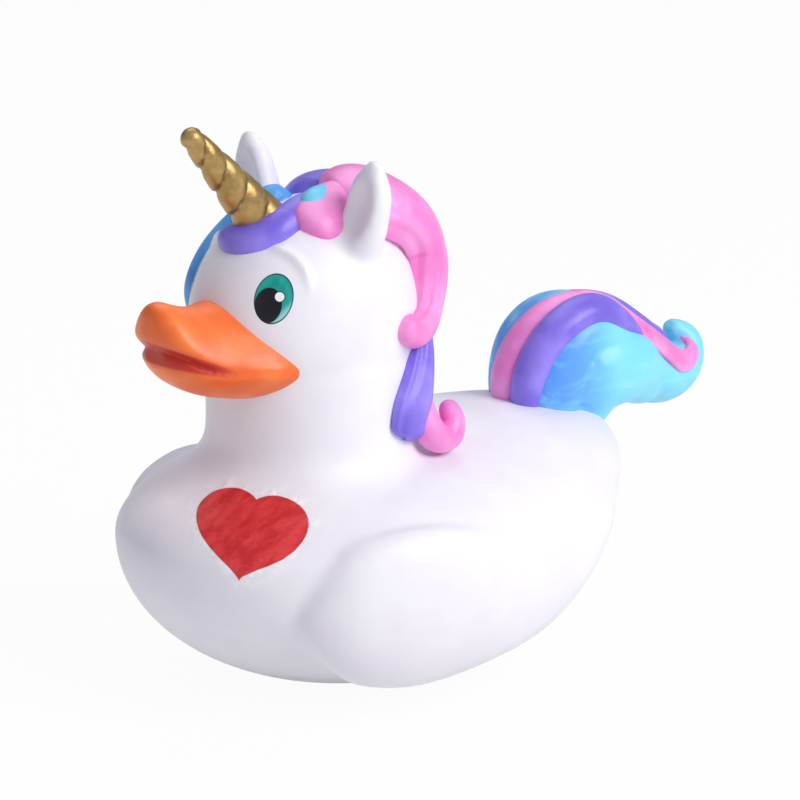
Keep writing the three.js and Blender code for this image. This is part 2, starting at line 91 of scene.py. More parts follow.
hull = ball("white_moulding", (0, 0, WIDEST_HEIGHT), BODY_HALF_WIDTH, BREAST_REACH, KEEL_DEPTH, 80, 44)
bpy.ops.object.mode_set(mode="EDIT")
pick(hull, lambda point: point.co.z > WIDEST_HEIGHT)
flatter = (BACK_HEIGHT - WIDEST_HEIGHT) / KEEL_DEPTH
bpy.ops.transform.resize(value=(1, 1, flatter), center_override=(0, 0, WIDEST_HEIGHT))
pick(hull, lambda point: point.co.y > 1e-6)
bpy.ops.transform.resize(value=(1, STERN_REACH / BREAST_REACH, 1), center_override=(0, 0, WIDEST_HEIGHT))
stern_rows = sorted({round(p.co.y, 5) for p in bmesh.from_edit_mesh(hull.data).verts if p.co.y > 1e-4})
for row in stern_rows:
    pick(hull, lambda point: abs(point.co.y - row) < 2e-5)
    bpy.ops.transform.translate(value=(0, 0, lift_of_stern(row)))
bpy.ops.object.mode_set(mode="OBJECT")

# Neck: a round waist that runs out over the shoulders, made of circles bridged one to the next.
# It reaches from inside the body to inside the head.
NECK_FORWARD = 11 * mm
NECK_RADIUS = 15.4 * mm
neck_profile = [
    (24.4, 30.1), (22.8, 31), (21, 32.1), (19.2, 33.2), (17.4, 34.6), (16.1, 36.3), (15.4, 38.5),
    (15.3, 42), (15.4, 45.7), (15.4, 49), (15, 52),
]


def turned_to(across, out):
    return Matrix((across, out, across.cross(out))).transposed().to_euler()


def bridged(name, stations, sides):
    begin_piece()
    piece = bpy.data.objects.new(name, bpy.data.meshes.new(name))
    bpy.context.collection.objects.link(piece)
    bpy.context.view_layer.objects.active = piece
    piece.select_set(True)
    bpy.ops.object.mode_set(mode="EDIT")
    for middle, across, out, half, high in stations:
        bpy.ops.mesh.primitive_circle_add(
            vertices=sides, radius=half, location=middle, rotation=turned_to(across, out),
        )
    skin = bmesh.from_edit_mesh(piece.data)
    skin.verts.ensure_lookup_table()
    for k, (middle, across, out, half, high) in enumerate(stations):
        for point in skin.verts[k * sides:(k + 1) * sides]:
            point.co += out * (point.co - middle).dot(out) * (high / half - 1)
    bmesh.update_edit_mesh(piece.data)
    for k in range(len(stations) - 1):
        pick(piece, lambda point: k * sides <= point.index < (k + 2) * sides)
        bpy.ops.mesh.bridge_edge_loops()
    for k in (0, len(stations) - 1):
        pick(piece, lambda point: k * sides <= point.index < (k + 1) * sides)
        bpy.ops.mesh.edge_face_add()
    bpy.ops.mesh.select_all(action="SELECT")
    bpy.ops.mesh.normals_make_consistent(inside=False)
    return piece


X = Vector((1, 0, 0))
Y = Vector((0, 1, 0))
Z = Vector((0, 0, 1))
neck = bridged(
    "neck", [(Vector((0, -NECK_FORWARD, up * mm)), X, Y, r * mm, r * mm) for r, up in neck_profile], 64,
)
bpy.ops.object.mode_set(mode="OBJECT")

# Head: an egg lying along the body with its blunt end at the bill, cast in one with the neck.
# It is a ball whose back half is drawn in.
HEAD_FORWARD = 10 * mm
HEAD_HEIGHT = 56.5 * mm
HEAD_FRONT = 19.75 * mm
HEAD_REAR = 15.1 * mm
HEAD_HALF_WIDTH = 16 * mm
HEAD_HALF_HEIGHT = 17 * mm
head_middle = Vector((0, -HEAD_FORWARD, HEAD_HEIGHT))
head = ball("head", head_middle, HEAD_HALF_WIDTH, HEAD_FRONT, HEAD_HALF_HEIGHT, 72, 40)
bpy.ops.object.mode_set(mode="EDIT")
pick(head, lambda point: point.co.y > -HEAD_FORWARD + 1e-6)
bpy.ops.transform.resize(value=(1, HEAD_REAR / HEAD_FRONT, 1), center_override=head_middle)
bpy.ops.object.mode_set(mode="OBJECT")

# Wings: puffed teardrops on both sides, round in front, sagging amidships and sweeping up to a tip.
# The left one is made of rings that follow the hull, and the right one is its mirror image.
WING_FRONT = 28.3
WING_TIP = -31
WING_LOW = 17.6
WING_HIGH = 26.8
WING_HALF_DEPTH = 12.7 * mm
WING_THICK = 5.6 * mm
WING_SUNK = 2.4 * mm
WING_ROUND = 0.13


def run(sizes, share):
    reach = min(max(share, 0), 1) * (len(sizes) - 1)
    k = min(int(reach), len(sizes) - 2)
    t = reach - k
    a, b, c, d = (sizes[min(max(k + step, 0), len(sizes) - 1)] for step in (-1, 0, 1, 2))
    return 0.5 * (2 * b + (c - a) * t + (2 * a - 5 * b + 4 * c - d) * t * t + (3 * b - a - 3 * c + d) * t ** 3)


def side_of_hull(y, z):
    along = y / (BREAST_REACH if y < 0 else STERN_REACH)
    level = z - lift_of_stern(y) - WIDEST_HEIGHT
    high = level / (BACK_HEIGHT - WIDEST_HEIGHT if level > 0 else KEEL_DEPTH)
    return BODY_HALF_WIDTH * math.sqrt(max(0.05, 1 - along * along - high * high))


def wing_middle(share):
    y = -(WING_FRONT + share * (WING_TIP - WING_FRONT)) * mm
    rise = run((0, 0.01, -0.01, -0.02, -0.06, -0.07, -0.02, 0.15, 0.4, 0.71, 1), share)
    z = (WING_LOW + (WING_HIGH - WING_LOW) * rise) * mm
    return Vector((side_of_hull(y, z) - WING_SUNK, y, z))


wing_stations = []
for i in range(31):
    share = 0.002 + 0.996 * (0.5 - 0.5 * math.cos(math.pi * i / 30))
    middle = wing_middle(share)
    ahead = (wing_middle(min(1, share + 0.02)) - wing_middle(max(0, share - 0.02))).normalized()
    out = Vector((
        middle.x / BODY_HALF_WIDTH ** 2,
        middle.y / BREAST_REACH ** 2,
        (middle.z - WIDEST_HEIGHT) / (2 * KEEL_DEPTH ** 2),
    ))
    out = (out - ahead * out.dot(ahead)).normalized()
    to_front = max(0, 1 - share / WING_ROUND)
    to_tip = max(0, 1 - (1 - share) / (0.3 * WING_ROUND))
    rounded = math.sqrt(1 - to_front ** 2) * math.sqrt(1 - to_tip ** 2)
    depth = run((0.71, 0.87, 0.98, 1, 0.92, 0.82, 0.75, 0.66, 0.52, 0.34, 0.13), share) * rounded
    puff = run((0.8, 0.95, 1, 1, 1, 0.98, 0.95, 0.88, 0.78, 0.6, 0.3), share) * math.sqrt(rounded)
    wing_stations.append((middle, out.cross(ahead), out, WING_HALF_DEPTH * depth, WING_THICK * puff))
left_wing = bridged("left_wing", wing_stations, 40)
bpy.ops.object.mode_set(mode="OBJECT")


def mirror_copy(piece, name):
    begin_piece()
    twin = piece.copy()
    twin.data = piece.data.copy()
    twin.name = name
    bpy.context.collection.objects.link(twin)
    bpy.context.view_layer.objects.active = twin
    twin.select_set(True)
    bpy.ops.object.mode_set(mode="EDIT")
    bpy.ops.mesh.select_all(action="SELECT")
    bpy.ops.transform.resize(value=(-1, 1, 1), center_override=(0, 0, 0))
    bpy.ops.mesh.normals_make_consistent(inside=False)
    bpy.ops.object.mode_set(mode="OBJECT")
    return twin


right_wing = mirror_copy(left_wing, "right_wing")

# Ears: upright leaves that lean outward, each with a scooped hollow in front.
# The scoop is a stretched ball taken out of the leaf.
EAR_LENGTH = 15.8 * mm
EAR_HALF_WIDTH = 3.9 * mm
EAR_HALF_DEPTH = 3.1 * mm
EAR_LEAN = math.radians(18)


def outward_from_head(place):
    ahead = place.y + HEAD_FORWARD
    reach = HEAD_FRONT if ahead < 0 else HEAD_REAR
    return Vector((
        place.x / HEAD_HALF_WIDTH ** 2,
        ahead / reach ** 2,
        max(0, place.z - HEAD_HEIGHT) / HEAD_HALF_HEIGHT ** 2,
    )).normalized()


def on_head(azimuth, elevation, lift):
    ahead = math.cos(math.radians(elevation)) * math.cos(math.radians(azimuth))
    aside = math.cos(math.radians(elevation)) * math.sin(math.radians(azimuth))
    place = Vector((
        aside * HEAD_HALF_WIDTH,
        -HEAD_FORWARD - ahead * (HEAD_FRONT if ahead > 0 else HEAD_REAR),
        HEAD_HEIGHT + HEAD_HALF_HEIGHT * math.sin(math.radians(elevation)),
    ))
    return place + outward_from_head(place) * lift * mm


def on_neck(azimuth, up, lift):
    reach = NECK_RADIUS + lift * mm
    turn = math.radians(azimuth)
    return Vector((reach * math.sin(turn), -NECK_FORWARD - reach * math.cos(turn), up * mm))


ear_foot = on_head(88, 40, -2.8)
ear_way = Vector((math.sin(EAR_LEAN), 0, math.cos(EAR_LEAN)))
ear_across = Vector((math.cos(EAR_LEAN), 0, -math.sin(EAR_LEAN)))
ear_stations = []
for i in range(17):
    share = 0.5 - 0.5 * math.cos(math.pi * i / 16)
    bow = 0.3 * mm * math.sin(math.pi * share)
    middle = ear_foot + ear_way * EAR_LENGTH * share + X * bow
    half = EAR_HALF_WIDTH * run((0.8, 1, 1, 0.88, 0.34), share)
    high = EAR_HALF_DEPTH * run((1, 1, 0.92, 0.76, 0.3), share)
    ear_stations.append((middle, ear_across, -Y, half, high))
left_ear = bridged("left_ear", ear_stations, 24)
bpy.ops.object.mode_set(mode="OBJECT")
begin_piece()
bpy.ops.mesh.primitive_uv_sphere_add(
    segments=32, ring_count=20, radius=1, rotation=(0, EAR_LEAN, 0),
    location=ear_foot + ear_way * EAR_LENGTH * 0.55 + Vector((0.2 * mm, -0.98 * EAR_HALF_DEPTH, 0)),
    scale=(0.68 * EAR_HALF_WIDTH, 2.4 * mm, 0.35 * EAR_LENGTH),
)
ear_scoop = bpy.context.object
apply_modifier(left_ear, "BOOLEAN", operation="DIFFERENCE", object=ear_scoop, solver="EXACT")
bpy.data.objects.remove(ear_scoop)
right_ear = mirror_copy(left_ear, "right_ear")

# Hull, neck, head, wings and ears are one skin: joined, remeshed and eased, as the mould's edges are.
# The brow creases, thin raised lines over the eyes, go on after that so that they stay crisp.
SKIN_VOXEL = 0.62 * mm
FINE_VOXEL = 0.5 * mm
for piece in (hull, neck, head, left_wing, right_wing, left_ear, right_ear):
    piece.select_set(True)
bpy.context.view_layer.objects.active = hull
bpy.ops.object.join()
apply_modifier(hull, "REMESH", mode="VOXEL", voxel_size=SKIN_VOXEL)
apply_modifier(hull, "SMOOTH", factor=0.5, iterations=6)


def drawn_line(points, count):
    dense = []
    for k in range(len(points) - 1):
        for step in range(24):
            share = (k + step / 24) / (len(points) - 1)
            dense.append(Vector([run([p[axis] for p in points], share) for axis in range(3)]))
    dense.append(Vector(points[-1]))
    travelled = [0.0]
    for a, b in zip(dense, dense[1:]):
        travelled.append(travelled[-1] + (b - a).length)
    line = []
    for i in range(count):
        share = 0.5 - 0.5 * math.cos(math.pi * i / (count - 1))
        wanted = share * travelled[-1]
        passed = next((n for n, s in enumerate(travelled) if s >= wanted), 1)
        k = max(0, min(len(dense) - 2, passed - 1))
        part = (wanted - travelled[k]) / max(1e-9, travelled[k + 1] - travelled[k])
        line.append((share, dense[k].lerp(dense[k + 1], part), (dense[k + 1] - dense[k]).normalized()))
    return line


def strand(name, points, outward, widths, heights, count, sides, tip=0.05):
    stations = []
    for share, middle, ahead in drawn_line(points, count):
        out = outward(middle)
        out = (out - ahead * out.dot(ahead)).normalized()
        to_end = max(0, 1 - (1 - share) / tip, 1 - share / tip)
        rounded = math.sqrt(max(0.01, 1 - to_end * to_end)) * mm
        half = run(widths, share) * rounded
        high = run(heights, share) * rounded
        stations.append((middle, out.cross(ahead), out, half, high))
    return bridged(name, stations, sides)


brow_size = (0.55, 0.72, 0.68, 0.5, 0.2)
left_brow = strand(
    "left_brow", [on_head(30, 44, 0), on_head(42, 41, 0), on_head(51, 34, 0), on_head(56, 21, 0)],
    outward_from_head, brow_size, brow_size, 20, 12,
)
bpy.ops.object.mode_set(mode="OBJECT")
right_brow = mirror_copy(left_brow, "right_brow")
for piece in (hull, left_brow, right_brow):
    piece.select_set(True)
bpy.context.view_layer.objects.active = hull
bpy.ops.object.join()
apply_modifier(hull, "REMESH", mode="VOXEL", voxel_size=FINE_VOXEL)
apply_modifier(hull, "SMOOTH", factor=0.5, iterations=4)
bpy.ops.object.mode_set(mode="EDIT")
bpy.ops.mesh.select_all(action="SELECT")
bpy.ops.mesh.bisect(plane_co=(0, 0, 0), plane_no=(0, 0, 1), use_fill=True, clear_inner=True)
bpy.ops.mesh.select_all(action="SELECT")
bpy.ops.mesh.normals_make_consistent(inside=False)
bpy.ops.object.mode_set(mode="OBJECT")
bpy.ops.object.shade_smooth_by_angle(angle=math.radians(50))


# White rubber: matt, faintly mottled by the mould. Eyes and heart are painted on by hand.
# The eyes are mirror images, and the heart, with its brush strokes, is on the left breast only.
def shade(red, green, shaded_blue):
    return [((c + 0.055) / 1.055) ** 2.4 if c > 0.04 else c / 12.92 for c in (red, green, shaded_blue)] + [1]


class Finish:
    def __init__(self, name, roughness):
        self.material = bpy.data.materials.new(name)
        self.material.use_nodes = True
        self.tree = self.material.node_tree
        self.shader = self.tree.nodes["Principled BSDF"]
        self.shader.inputs["Roughness"].default_value = roughness
        self.place = self.tree.nodes.new("ShaderNodeTexCoord").outputs["Object"]

    def plug(self, value, socket):
        if isinstance(value, bpy.types.NodeSocket):
            self.tree.links.new(value, socket)
        else:
            socket.default_value = value

    def math(self, how, a, b=0.0, c=0.0):
        node = self.tree.nodes.new("ShaderNodeMath")
        node.operation = how
        for value, socket in zip((a, b, c), node.inputs):
            self.plug(value, socket)
        return node.outputs[0]

    def along(self, place, way):
        node = self.tree.nodes.new("ShaderNodeVectorMath")
        node.operation = "DOT_PRODUCT"
        self.plug(place, node.inputs[0])
        self.plug(way, node.inputs[1])
        return node.outputs["Value"]

    def shifted(self, place, middle):
        node = self.tree.nodes.new("ShaderNodeVectorMath")
        node.operation = "SUBTRACT"
        self.plug(place, node.inputs[0])
        self.plug(middle, node.inputs[1])
        return node.outputs[0]

    def between(self, value, low, high, to_low=0.0, to_high=1.0):
        node = self.tree.nodes.new("ShaderNodeMapRange")
        node.interpolation_type = "SMOOTHSTEP"
        for v, socket in zip((value, low, high, to_low, to_high), node.inputs):
            self.plug(v, socket)
        return node.outputs[0]

    def cloud(self, scale, detail, stretch=None, rough=0.5):
        where = self.place
        if stretch:
            mapping = self.tree.nodes.new("ShaderNodeMapping")
            self.plug(where, mapping.inputs["Vector"])
            mapping.inputs["Rotation"].default_value = stretch[0]
            mapping.inputs["Scale"].default_value = stretch[1]
            where = mapping.outputs[0]
        node = self.tree.nodes.new("ShaderNodeTexNoise")
        self.plug(where, node.inputs["Vector"])
        node.inputs["Scale"].default_value = scale
        node.inputs["Detail"].default_value = detail
        node.inputs["Roughness"].default_value = rough
        return node.outputs["Fac"]

    def over(self, share, under, upper):
        node = self.tree.nodes.new("ShaderNodeMix")
        node.data_type = "RGBA"
        self.plug(share, node.inputs["Factor"])
        self.plug(under, node.inputs["A"])
        self.plug(upper, node.inputs["B"])
        return node.outputs["Result"]

    def relief(self, height, depth, strength):
        node = self.tree.nodes.new("ShaderNodeBump")
        node.inputs["Strength"].default_value = strength
        node.inputs["Distance"].default_value = depth
        self.plug(height, node.inputs["Height"])
        self.plug(node.outputs[0], self.shader.inputs["Normal"])

    def done(self, colour, roughness=None):
        self.plug(colour, self.shader.inputs["Base Color"])
        if roughness is not None:
            self.plug(roughness, self.shader.inputs["Roughness"])
        return self.material


white = Finish("white_rubber", 0.45)
mottle = white.cloud(120, 4)
grain = white.cloud(1600, 2)
colour = white.over(white.between(mottle, 0.35, 0.7), shade(0.94, 0.933, 0.96), shade(0.955, 0.95, 0.97))

split = white.tree.nodes.new("ShaderNodeSeparateXYZ")
white.plug(white.place, split.inputs[0])
both_sides = white.tree.nodes.new("ShaderNodeCombineXYZ")
white.plug(white.math("ABSOLUTE", split.outputs[0]), both_sides.inputs[0])
white.plug(split.outputs[1], both_sides.inputs[1])
white.plug(split.outputs[2], both_sides.inputs[2])
EYE_MIDDLE = Vector((9.1, -24.9, 61.9)) * mm
EYE_HALF_WIDTH = 2.85
EYE_HALF_HEIGHT = 3.75
PUPIL_HALF_WIDTH = 2.05
PUPIL_HALF_HEIGHT = 2.62
GLINT_RADIUS = 0.72
EYE_LEAN = math.radians(11)
PUPIL_LEAN = math.radians(8)
eye_out = Vector((0.61, -0.72, 0.33)).normalized()
eye_right = Z.cross(eye_out).normalized()
eye_up = eye_out.cross(eye_right)
eye_place = white.shifted(both_sides.outputs[0], EYE_MIDDLE)
eye_u = white.math("MULTIPLY", white.along(eye_place, eye_right), 1000)
eye_v = white.math("MULTIPLY", white.along(eye_place, eye_up), 1000)
eye_w = white.along(eye_place, eye_out)
eye_near = white.between(eye_w, -4 * mm, -3.5 * mm)


def oval(u, v, middle_u, middle_v, half_u, half_v, lean):
    du = white.math("SUBTRACT", u, middle_u)
    dv = white.math("SUBTRACT", v, middle_v)
    c, s = math.cos(lean), math.sin(lean)
    a = white.math("MULTIPLY_ADD", du, c / half_u, white.math("MULTIPLY", dv, -s / half_u))
    b = white.math("MULTIPLY_ADD", du, s / half_v, white.math("MULTIPLY", dv, c / half_v))
    return white.math("SQRT", white.math("MULTIPLY_ADD", a, a, white.math("MULTIPLY", b, b)))


eye_ring = oval(eye_u, eye_v, 0.12, -0.05, EYE_HALF_WIDTH, EYE_HALF_HEIGHT, EYE_LEAN)
iris_shape = white.math("MULTIPLY", white.between(eye_ring, 1.0, 0.965), eye_near)
iris_inner = white.between(eye_ring, 0.955, 0.9)
pupil = oval(eye_u, eye_v, -0.62, -1.05, PUPIL_HALF_WIDTH, PUPIL_HALF_HEIGHT, PUPIL_LEAN)
pupil_shape = white.math("MULTIPLY", white.between(pupil, 1.0, 0.95), white.between(eye_ring, 0.97, 0.94))
glint = oval(eye_u, eye_v, 1.0, 0.22, GLINT_RADIUS, GLINT_RADIUS, 0)
streak = white.cloud(900, 3, ((0, 0, 0), (1, 1, 0.3)))
teal = white.over(white.between(streak, 0.3, 0.7), shade(0.07, 0.56, 0.53), shade(0.13, 0.66, 0.61))
low_right = white.between(white.math("SUBTRACT", eye_u, eye_v), 2.6, 4.2)
teal = white.over(low_right, teal, shade(0.62, 0.86, 0.86))
eye = white.over(iris_inner, shade(0.02, 0.2, 0.21), teal)
eye = white.over(pupil_shape, eye, shade(0.06, 0.06, 0.09))
eye = white.over(white.between(glint, 1.18, 1.08), eye, shade(0.1, 0.12, 0.14))
eye = white.over(white.between(glint, 0.98, 0.9), eye, shade(0.97, 0.97, 0.98))
colour = white.over(iris_shape, colour, eye)

HEART_MIDDLE = Vector((12.31, -32.37, 28.37)) * mm
HEART_ACROSS = (0.13091, 0.00463)
HEART_UPWARD = (0.02442, 0.15338)
HEART_UNEVEN = 0.5
heart_out = Vector((0.38, -0.58, 0.72)).normalized()
heart_right = Z.cross(heart_out).normalized()
heart_up = heart_out.cross(heart_right)
heart_place = white.shifted(white.place, HEART_MIDDLE)
hand = white.math("MULTIPLY_ADD", white.cloud(260, 2), 0.9, -0.45)
waver = white.math("MULTIPLY", hand, HEART_UNEVEN)
counter = white.math("MULTIPLY", hand, -HEART_UNEVEN)
heart_u = white.math("MULTIPLY_ADD", white.along(heart_place, heart_right), 1000, waver)
heart_v = white.math("MULTIPLY_ADD", white.along(heart_place, heart_up), 1000, counter)
heart_x = white.math("MULTIPLY_ADD", heart_u, HEART_ACROSS[0], white.math("MULTIPLY", heart_v, HEART_ACROSS[1]))
heart_y = white.math("MULTIPLY_ADD", heart_u, HEART_UPWARD[0], white.math("MULTIPLY", heart_v, HEART_UPWARD[1]))
across = white.math("POWER", white.math("ABSOLUTE", heart_x), 2 / 3)
bowl = white.math("MULTIPLY_ADD", heart_x, heart_x, white.math("MULTIPLY_ADD", heart_y, heart_y, -1))
heart = white.math("SUBTRACT", bowl, white.math("MULTIPLY", across, heart_y))
heart_near = white.between(white.along(heart_place, heart_out), -9 * mm, -8 * mm)
heart_shape = white.math("MULTIPLY", white.between(heart, 0.025, -0.025), heart_near)
strokes = white.cloud(520, 4, ((0, 0.5, 0.55), (1, 0.16, 1)), rough=0.65)
red = white.over(white.between(strokes, 0.36, 0.66), shade(0.8, 0.14, 0.16), shade(0.9, 0.25, 0.26))
touched = white.math("MULTIPLY", white.between(heart, 0.75, 0.05), heart_near)
touched = white.math("MULTIPLY", touched, white.between(strokes, 0.44, 0.62))
colour = white.over(touched, colour, shade(0.985, 0.985, 0.99))
colour = white.over(heart_shape, colour, red)
height = white.math("MULTIPLY_ADD", grain, 0.12, white.math("MULTIPLY", mottle, 0.3))
painted = white.math("MAXIMUM", touched, heart_shape)
height = white.math("ADD", height, white.math("MULTIPLY", white.math("MULTIPLY", strokes, 1.3), painted))
height = white.math("ADD", height, white.math("MULTIPLY", heart_shape, 0.6))
white.relief(height, 0.12 * mm, 0.8)
rough = white.between(mottle, 0.3, 0.7, 0.42, 0.5)
rough = white.math("SUBTRACT", rough, white.math("MULTIPLY", iris_shape, 0.14))
hull.data.materials.clear()
hull.data.materials.append(white.done(colour, rough))


def hand_over(piece, material):
    if bpy.context.object.mode != "OBJECT":
        bpy.ops.object.mode_set(mode="OBJECT")
    begin_piece()
    piece.select_set(True)
    bpy.context.view_layer.objects.active = piece
    if material:
        bpy.ops.object.shade_smooth()
        piece.data.materials.clear()
        piece.data.materials.append(material)
    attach(piece, "root")
    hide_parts("duck")


hand_over(hull, None)

# Bill: an arched upper half with a turned-up lip over a shorter lower half, parted in front.
# The halves run together at the corners of the mouth. Orange paint, dark red between the lips.
# Each row: reach, half width, top, side and bottom heights, and how full the rim is, all in mm.
BILL_TOP = 60.6
BILL_SIDE = 52
CHIN = 45.6
BILL_VOXEL = 0.3 * mm
MOUTH_CORNER = 29.5
MOUTH_ROOF = 51.6
MOUTH_FLOOR = 51
upper_table = [
    (19.9, 11.5, BILL_TOP - 1, BILL_SIDE - 0.8, BILL_SIDE - 2.5, 2.4),
    (24.7, 11.7, BILL_TOP, BILL_SIDE - 0.5, BILL_SIDE - 2, 2.2),
    (28.3, 10.7, BILL_TOP, BILL_SIDE - 0.1, BILL_SIDE - 1.2, 1.6),
    (32.1, 8.9, BILL_TOP - 0.5, BILL_SIDE + 0.5, BILL_SIDE - 0.2, 1.8),
    (35.4, 7.5, BILL_TOP + 0.2, BILL_SIDE + 1.9, BILL_SIDE + 1.1, 2.1),
    (37.9, 6, BILL_TOP + 1.1, BILL_SIDE + 3.9, BILL_SIDE + 2.5, 2.3),
    (39.6, 3.9, BILL_TOP + 0.8, BILL_SIDE + 5.1, BILL_SIDE + 3.5, 2),
    (40.3, 1.6, BILL_TOP - 0.5, BILL_SIDE + 5.9, BILL_SIDE + 4.8, 1),
]
lower_table = [
    (19.9, 11.3, BILL_SIDE + 1.2, BILL_SIDE - 1.4, CHIN, 2.4),
    (24.7, 11.5, BILL_SIDE + 1, BILL_SIDE - 1.2, CHIN, 2.2),
    (28.5, 10.5, BILL_SIDE + 0.8, BILL_SIDE - 0.8, CHIN + 0.6, 1.9),
    (32.2, 8.9, BILL_SIDE + 0.2, BILL_SIDE - 0.7, CHIN + 1.6, 1.8),
    (35.4, 7.1, BILL_SIDE + 1.7, BILL_SIDE - 0.1, CHIN + 3.1, 1.7),
    (37.7, 5, BILL_SIDE + 3.2, BILL_SIDE + 1, CHIN + 4.8, 1.7),
    (39, 2.5, BILL_SIDE + 3, BILL_SIDE + 1.7, CHIN + 6.5, 1.3),
]


def bill_half(name, table, sides, steps):
    rows = []
    for i in range(steps):
        share = i / (steps - 1)
        rows.append([run([row[n] for row in table], share) for n in range(6)])
    piece = bridged(
        name, [(Vector((0, -row[0] * mm, row[3] * mm)), X, Z, row[1] * mm, mm) for row in rows], sides,
    )
    skin = bmesh.from_edit_mesh(piece.data)
    skin.verts.ensure_lookup_table()
    for k, (_, _, top, side, bottom, rim) in enumerate(rows):
        for point in skin.verts[k * sides:(k + 1) * sides]:
            rise = point.co.z / mm - side
            middle = top - side - rim if rise > 0 else bottom - side + rim
            point.co.z = (side + middle * rise * rise + rim * rise) * mm
    bmesh.update_edit_mesh(piece.data)
    return piece


upper_bill = bill_half("bill", upper_table, 40, 26)
bpy.ops.object.mode_set(mode="OBJECT")
lower_bill = bill_half("lower_bill", lower_table, 40, 24)
bpy.ops.object.mode_set(mode="OBJECT")
for piece in (upper_bill, lower_bill):
    piece.select_set(True)
bpy.context.view_layer.objects.active = upper_bill
bpy.ops.object.join()
apply_modifier(upper_bill, "REMESH", mode="VOXEL", voxel_size=BILL_VOXEL)
apply_modifier(upper_bill, "SMOOTH", factor=0.5, iterations=7)
orange = Finish("orange_paint", 0.4)
wash = orange.cloud(140, 4)
brush = orange.cloud(420, 4, ((0, 0, 0), (1, 0.25, 1)))
colour = orange.over(orange.between(wash, 0.35, 0.68), shade(0.96, 0.42, 0.16), shade(1.0, 0.52, 0.24))
split = orange.tree.nodes.new("ShaderNodeSeparateXYZ")
orange.plug(orange.place, split.inputs[0])
forward = orange.math("MULTIPLY", split.outputs[1], -1000)
level = orange.math("MULTIPLY", split.outputs[2], 1000)
past_corner = orange.math("MAXIMUM", orange.math("SUBTRACT", forward, MOUTH_CORNER), 0)
past_cheek = orange.math("MAXIMUM", orange.math("SUBTRACT", forward, MOUTH_CORNER + 2.5), 0)
roof = orange.math("MULTIPLY_ADD", past_corner, 0.45, MOUTH_ROOF)
floor_of_mouth = orange.math("MULTIPLY_ADD", past_cheek, 0.2, MOUTH_FLOOR)
below_roof = orange.between(level, roof, orange.math("SUBTRACT", roof, 0.5))
above_floor = orange.between(level, floor_of_mouth, orange.math("ADD", floor_of_mouth, 0.6))
inside = orange.math("MULTIPLY", below_roof, above_floor)
inside = orange.math("MULTIPLY", inside, orange.between(forward, MOUTH_CORNER + 1, MOUTH_CORNER + 5))
colour = orange.over(inside, colour, shade(0.78, 0.16, 0.07))
pores = orange.math("MULTIPLY", orange.cloud(1500, 2), 0.15)
orange.relief(orange.math("MULTIPLY_ADD", brush, 0.5, pores), 0.1 * mm, 0.6)
hand_over(upper_bill, orange.done(colour, orange.between(brush, 0.3, 0.7, 0.36, 0.46)))

# Horn: a tapering cone leaning forward from the forehead, with two grooves that wind up it.
# Each groove is pressed in by three cuts, each narrower. Dull antique gold paint, with painted shade that darkens the
# grooves.
HORN_LENGTH = 19.6
HORN_ROOT = 4
HORN_BASE = 3.75
HORN_TIP = 1.5
HORN_BANDS = 4.2
HORN_STARTS = 2
HORN_SIDES = 36
HORN_STEPS = 72
HORN_PLAIN_END = 5
groove_cuts = ((0.34, 0.14), (0.2, 0.18), (0.1, 0.2))
horn_tilt = math.radians(42.5)
horn_foot = on_head(0, 60, 0)
horn_way = Vector((0, -math.sin(horn_tilt), math.cos(horn_tilt)))
horn_up = horn_way.cross(X)
horn_stations = []
for i in range(HORN_STEPS + 1):
    far = i / HORN_STEPS * (HORN_LENGTH + HORN_ROOT) - HORN_ROOT
    taper = HORN_BASE + far / HORN_LENGTH * (HORN_TIP - HORN_BASE)
    to_tip = max(0, 1 - (HORN_LENGTH - far) / HORN_TIP)
    reach = taper * math.sqrt(max(0.03, 1 - to_tip * to_tip))
    horn_stations.append((horn_foot + horn_way * far * mm, X, horn_up, reach * mm, reach * mm))
horn = bridged("horn", horn_stations, HORN_SIDES)


def winding(point):
    row, column = divmod(point.index, HORN_SIDES)
    far = row / HORN_STEPS * (HORN_LENGTH + HORN_ROOT) - HORN_ROOT
    return (HORN_STARTS * column / HORN_SIDES - HORN_BANDS * far / HORN_LENGTH) % 1


grooved = (HORN_STEPS - HORN_PLAIN_END) * HORN_SIDES
for wide, sunk in groove_cuts:
    pick(horn, lambda point: winding(point) < wide and point.index < grooved)
    bpy.ops.transform.shrink_fatten(value=-sunk * mm)
bpy.ops.object.mode_set(mode="OBJECT")
apply_modifier(horn, "SMOOTH", factor=0.4, iterations=1)
apply_modifier(horn, "SUBSURF", levels=1, render_levels=1)
gold = Finish("antique_gold", 0.38)
gold.shader.inputs["Metallic"].default_value = 0.7
rub = gold.cloud(420, 5, rough=0.6)
shaded_hollows = gold.tree.nodes.new("ShaderNodeNewGeometry").outputs["Pointiness"]
colour = gold.over(gold.between(rub, 0.32, 0.68), shade(0.62, 0.51, 0.3), shade(0.75, 0.63, 0.4))
# Painted shade: where pointiness shows a hollow, the gold is darkened to brown.
colour = gold.over(gold.between(shaded_hollows, 0.5, 0.44), colour, shade(0.3, 0.22, 0.1))
pores = gold.math("MULTIPLY", gold.cloud(1400, 2), 0.3)
gold.relief(gold.math("MULTIPLY_ADD", rub, 0.6, pores), 0.12 * mm, 0.6)
hand_over(horn, gold.done(colour, gold.between(rub, 0.3, 0.7, 0.32, 0.48)))


# Mane: moulded locks that lie on the head and neck, painted pink, purple and blue.
# Each lock is rings along a line on the head, with furrows pressed in along its length.
def furrow(piece, sides, columns, sunk):
    pick(piece, lambda point: point.index % sides in columns)
    bpy.ops.transform.shrink_fatten(value=-sunk * mm)


def finish_lock(piece):
    bpy.ops.object.mode_set(mode="OBJECT")
    apply_modifier(piece, "SUBSURF", levels=2, render_levels=2)


